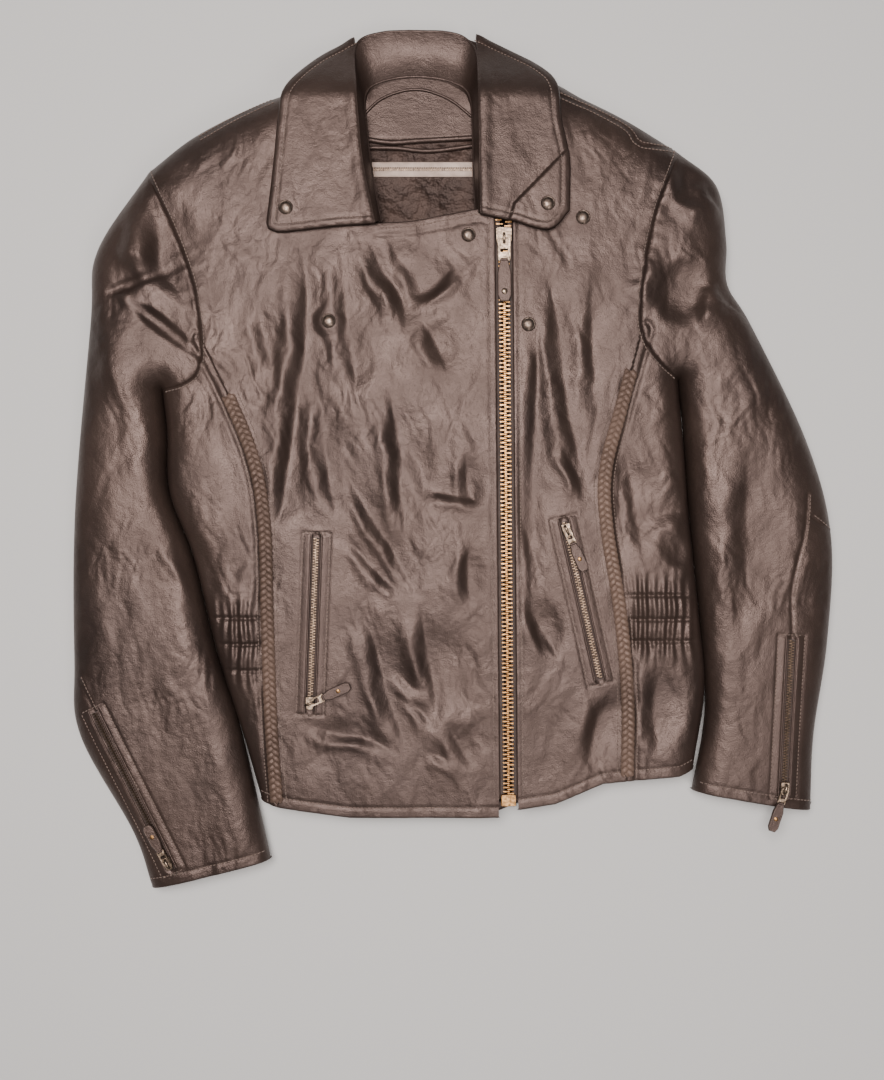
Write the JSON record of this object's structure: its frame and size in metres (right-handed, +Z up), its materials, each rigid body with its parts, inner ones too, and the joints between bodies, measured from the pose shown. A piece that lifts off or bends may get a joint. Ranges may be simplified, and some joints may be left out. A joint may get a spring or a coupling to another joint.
{
  "type": "leather riding jacket",
  "caption": "Black leather riding jacket lying on its back, offset brass zip closed, wide collar folded down, sleeves at the sides, with braided seams and zip pockets.",
  "frame": {"origin": "on the underside of the back panel, in the plane that the jacket lies on, between the side edges at waist height", "axes": "+Z up from the surface that the jacket lies on, out through the front; +Y from the hem to the collar; +X towards the wearer's left"},
  "size_m": [0.6717, 0.7577, 0.0557],
  "materials": {
    "black_leather": "semi-gloss aged grain leather",
    "braid_leather": "worn matte leather",
    "black_fabric": "matte woven",
    "lining_fabric": "quilted satin",
    "zip_tape": "matte woven tape",
    "antique_brass": "aged brass",
    "grey_zip": "matte moulded coil",
    "dark_metal": "antiqued nickel"
  },
  "bodies": {
    "torso": {"back_panel": "black_leather", "back_yoke": "black_leather", "right_front_panel": "black_leather", "left_front_panel": "black_leather", "right_side_panel": "black_leather", "left_side_panel": "black_leather", "right_braid_trim": "braid_leather", "left_braid_trim": "braid_leather", "right_waist_elastic": "black_fabric", "left_waist_elastic": "black_fabric", "collar_stand": "black_leather", "collar_back_fall": "black_leather", "right_zip_tape": "zip_tape", "left_zip_tape": "zip_tape", "right_zip_teeth": "antique_brass", "left_zip_teeth": "antique_brass", "zip_retainer_box": "antique_brass", "right_pocket_zip": "antique_brass", "left_pocket_zip": "antique_brass", "right_pocket_bag": "black_fabric", "left_pocket_bag": "black_fabric", "right_chest_snap": "dark_metal", "left_chest_snap": "dark_metal", "lapel_snap": "dark_metal", "left_neck_snap": "dark_metal", "back_lining": "lining_fabric", "right_front_lining": "lining_fabric", "left_front_lining": "lining_fabric", "neck_facing": "black_leather", "liner_zip_strip": "grey_zip"},
    "right_collar": {"right_collar_leaf": "black_leather", "right_collar_snap_cap": "dark_metal"},
    "left_collar": {"left_collar_leaf": "black_leather", "left_collar_snap_cap": "dark_metal"},
    "right_sleeve": {"right_top_sleeve": "black_leather", "right_under_sleeve": "black_leather", "right_sleeve_lining": "lining_fabric", "right_cuff_zip": "antique_brass"},
    "left_sleeve": {"left_top_sleeve": "black_leather", "left_under_sleeve": "black_leather", "left_sleeve_lining": "lining_fabric", "left_cuff_zip": "antique_brass"},
    "main_slider_body": {"main_slider": "dark_metal"},
    "main_pull_link": {"main_pull": "antique_brass"},
    "main_puller": {"main_puller_tab": "black_leather", "main_puller_rivet": "antique_brass"},
    "right_pocket_slider_body": {"right_pocket_slider": "dark_metal"},
    "right_pocket_pull_link": {"right_pocket_pull": "antique_brass"},
    "right_pocket_puller": {"right_pocket_puller_tab": "black_leather"},
    "left_pocket_slider_body": {"left_pocket_slider": "dark_metal"},
    "left_pocket_pull_link": {"left_pocket_pull": "antique_brass"},
    "left_pocket_puller": {"left_pocket_puller_tab": "black_leather"},
    "right_cuff_slider_body": {"right_cuff_slider": "dark_metal"},
    "right_cuff_pull_link": {"right_cuff_pull": "antique_brass"},
    "right_cuff_puller": {"right_cuff_puller_tab": "black_leather"},
    "left_cuff_slider_body": {"left_cuff_slider": "dark_metal"},
    "left_cuff_pull_link": {"left_cuff_pull": "antique_brass"},
    "left_cuff_puller": {"left_cuff_puller_tab": "black_leather"}
  },
  "joints": [
    {"name": "right_sleeve_swing", "type": "hinge", "parent": "torso", "child": "right_sleeve", "pos_m": [-0.268, 0.251, 0], "axis": [0, 0, -1], "range_deg": [0, 25]},
    {"name": "left_sleeve_swing", "type": "hinge", "parent": "torso", "child": "left_sleeve", "pos_m": [0.199, 0.269, 0], "axis": [0, 0, 1], "range_deg": [0, 25]},
    {"name": "right_collar_fold", "type": "hinge", "parent": "torso", "child": "right_collar", "pos_m": [-0.067, 0.199, 0.0535], "axis": [-0.1155, 0.9933, 0], "range_deg": [0, 105]},
    {"name": "left_collar_fold", "type": "hinge", "parent": "torso", "child": "left_collar", "pos_m": [0.025, 0.207, 0.0535], "axis": [0.018, -0.9998, 0], "range_deg": [0, 105]},
    {"name": "main_zip_slide", "type": "slide", "parent": "torso", "child": "main_slider_body", "axis": [0.01, -0.9996, -0.0275], "range_m": [0, 0.465]},
    {"name": "main_pull_swing", "type": "hinge", "parent": "main_slider_body", "child": "main_pull_link", "pos_m": [0.04468, 0.18696, 0.04844], "axis": [-1, -0.01, 0], "range_deg": [0, 120]},
    {"name": "main_tab_swing", "type": "hinge", "parent": "main_pull_link", "child": "main_puller", "pos_m": [0.04488, 0.16677, 0.04789], "axis": [-1, -0.01, 0], "range_deg": [0, 50]},
    {"name": "right_pocket_zip_slide", "type": "slide", "parent": "torso", "child": "right_pocket_slider_body", "axis": [-0.04, -0.9988, -0.0275], "range_m": [-0.135, 0]},
    {"name": "right_pocket_pull_swing", "type": "hinge", "parent": "right_pocket_slider_body", "child": "right_pocket_pull_link", "pos_m": [-0.12375, -0.2157, 0.04097], "axis": [0.4067, -0.9132, -0.0246], "range_deg": [0, 120]},
    {"name": "right_pocket_tab_swing", "type": "hinge", "parent": "right_pocket_pull_link", "child": "right_pocket_puller", "pos_m": [-0.11078, -0.20992, 0.04114], "axis": [0.4067, -0.9132, -0.0246], "range_deg": [0, 50]},
    {"name": "left_pocket_zip_slide", "type": "slide", "parent": "torso", "child": "left_pocket_slider_body", "axis": [0.224, -0.9742, -0.0268], "range_m": [0, 0.126]},
    {"name": "left_pocket_pull_swing", "type": "hinge", "parent": "left_pocket_slider_body", "child": "left_pocket_pull_link", "pos_m": [0.09917, -0.06526, 0.04511], "axis": [-0.9136, -0.4067, -0.0051], "range_deg": [0, 120]},
    {"name": "left_pocket_tab_swing", "type": "hinge", "parent": "left_pocket_pull_link", "child": "left_pocket_puller", "pos_m": [0.10494, -0.07823, 0.04473], "axis": [-0.9136, -0.4067, -0.0051], "range_deg": [0, 50]},
    {"name": "right_cuff_zip_slide", "type": "slide", "parent": "right_sleeve", "child": "right_cuff_slider_body", "axis": [0.4393, -0.8982, -0.0165], "range_m": [-0.139, 0]},
    {"name": "right_cuff_pull_swing", "type": "hinge", "parent": "right_cuff_slider_body", "child": "right_cuff_pull_link", "pos_m": [-0.24864, -0.3566, 0.03565], "axis": [0.8829, 0.4695, 0.0006], "range_deg": [0, 120]},
    {"name": "right_cuff_tab_swing", "type": "hinge", "parent": "right_cuff_pull_link", "child": "right_cuff_puller", "pos_m": [-0.25531, -0.34406, 0.03589], "axis": [0.8829, 0.4695, 0.0006], "range_deg": [0, 50]},
    {"name": "left_cuff_zip_slide", "type": "slide", "parent": "left_sleeve", "child": "left_cuff_slider_body", "axis": [-0.0444, -0.9985, -0.0327], "range_m": [-0.122, 0]},
    {"name": "left_cuff_pull_swing", "type": "hinge", "parent": "left_cuff_slider_body", "child": "left_cuff_pull_link", "pos_m": [0.29023, -0.29078, 0.03797], "axis": [-0.9511, 0.3089, 0.0087], "range_deg": [0, 120]},
    {"name": "left_cuff_tab_swing", "type": "hinge", "parent": "left_cuff_pull_link", "child": "left_cuff_puller", "pos_m": [0.28584, -0.30427, 0.03752], "axis": [-0.9511, 0.3089, 0.0087], "range_deg": [0, 50]}
  ]
}
